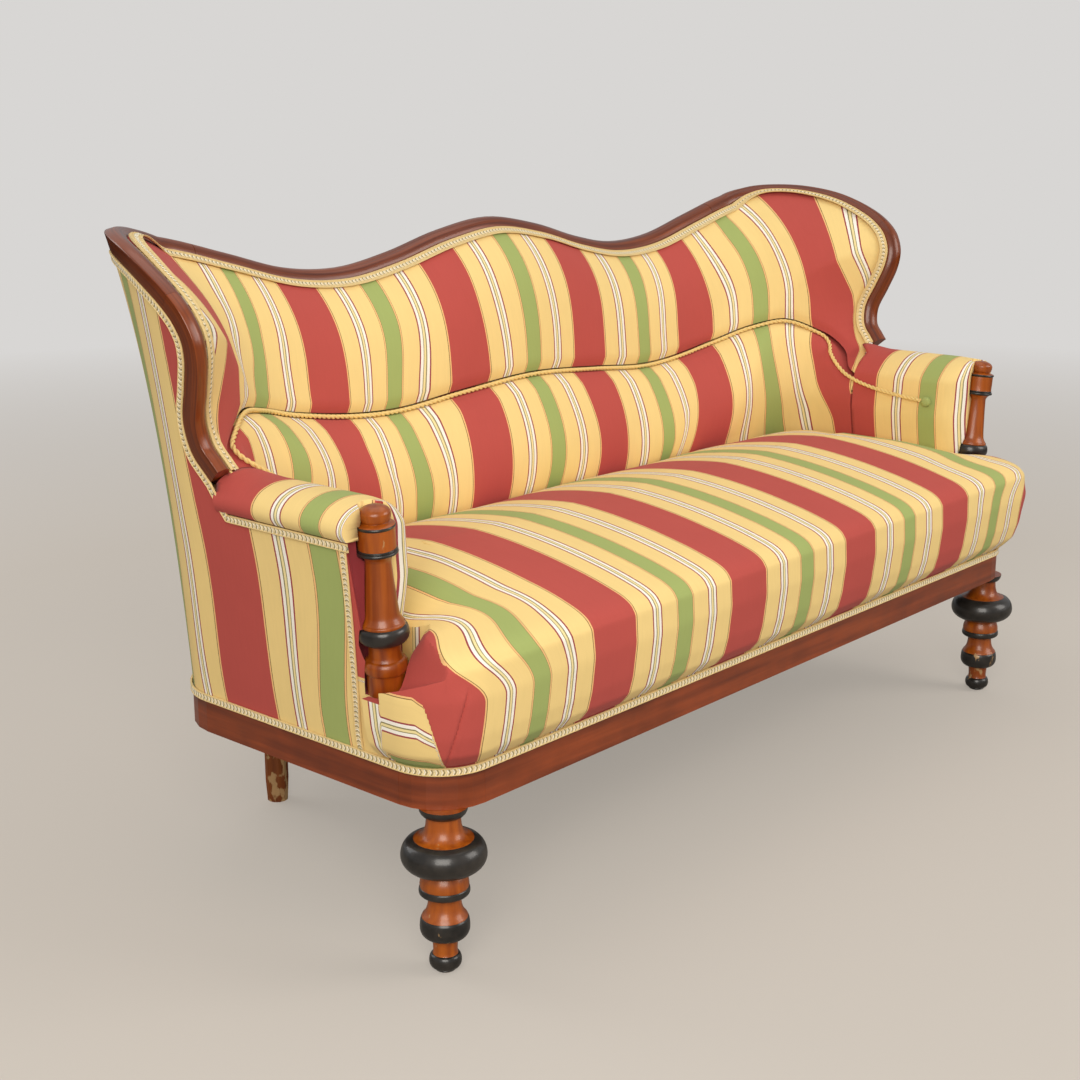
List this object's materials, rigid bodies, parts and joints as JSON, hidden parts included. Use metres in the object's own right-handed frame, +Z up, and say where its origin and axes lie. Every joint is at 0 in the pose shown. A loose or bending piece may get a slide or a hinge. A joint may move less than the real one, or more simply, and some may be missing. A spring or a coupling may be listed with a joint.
{
  "type": "cabriole sofa",
  "caption": "Cabriole sofa with a waved, winged show-wood crest, turned legs and arm posts, fixed striped upholstery, braid trim and a corded lumbar roll.",
  "frame": {"origin": "middle of the footprint's box, on the floor", "axes": "+Z up, the front towards -Y, +X to the right as seen from the front"},
  "size_m": [1.919, 0.798, 1.0245],
  "materials": {
    "show_wood": "polished red-brown wood, rings ebonised",
    "plain_wood": "worn, paler at the foot",
    "frame_wood": "sawn, bare",
    "striped_cover": "woven stripes in gold, red, green and white",
    "red_cover": "matte",
    "green_cover": "matte",
    "braid": "woven gimp",
    "twisted_cord": "two-ply twist",
    "jute": "coarse weave",
    "black_cloth": "matte",
    "spring_steel": "dull wire"
  },
  "bodies": {
    "root": {"front_rail": "show_wood", "front_corner_block_right": "show_wood", "front_corner_block_left": "show_wood", "side_rail_right": "show_wood", "side_rail_left": "show_wood", "rear_corner_rail_right": "show_wood", "rear_corner_rail_left": "show_wood", "rear_rail": "show_wood", "front_leg_right": "show_wood", "front_leg_left": "show_wood", "arm_post_right": "show_wood", "arm_post_left": "show_wood", "crest_rail": "show_wood", "crest_corner_right": "show_wood", "crest_corner_left": "show_wood", "wing_right": "show_wood", "wing_left": "show_wood", "rear_leg_right": "plain_wood", "rear_leg_left": "plain_wood", "seat_stretcher_right": "frame_wood", "seat_stretcher_left": "frame_wood", "arm_upright_right": "frame_wood", "arm_upright_left": "frame_wood", "arm_rail_right": "frame_wood", "arm_rail_left": "frame_wood", "wing_upright_right": "frame_wood", "wing_upright_left": "frame_wood", "back_upright_right": "frame_wood", "back_upright_left": "frame_wood", "lower_back_rail": "frame_wood", "upper_back_pad": "striped_cover", "lower_back_pad": "striped_cover", "arm_pad_right": "striped_cover", "arm_pad_left": "striped_cover", "outside_back": "striped_cover", "outside_side_right": "striped_cover", "outside_side_left": "striped_cover", "seat": "striped_cover", "arm_facing_right": "red_cover", "arm_facing_left": "red_cover", "arm_button_right": "green_cover", "arm_button_left": "green_cover", "crest_braid": "braid", "outer_braid_right": "braid", "outer_braid_left": "braid", "front_braid_right": "braid", "front_braid_left": "braid", "rail_braid": "braid", "back_cord": "twisted_cord", "back_canvas": "jute", "seat_webbing": "jute", "spring_canvas": "jute", "dust_cover": "black_cloth", "seat_spring_1": "spring_steel", "seat_spring_2": "spring_steel", "seat_spring_3": "spring_steel", "seat_spring_4": "spring_steel", "seat_spring_5": "spring_steel", "seat_spring_6": "spring_steel"}
  },
  "joints": []
}
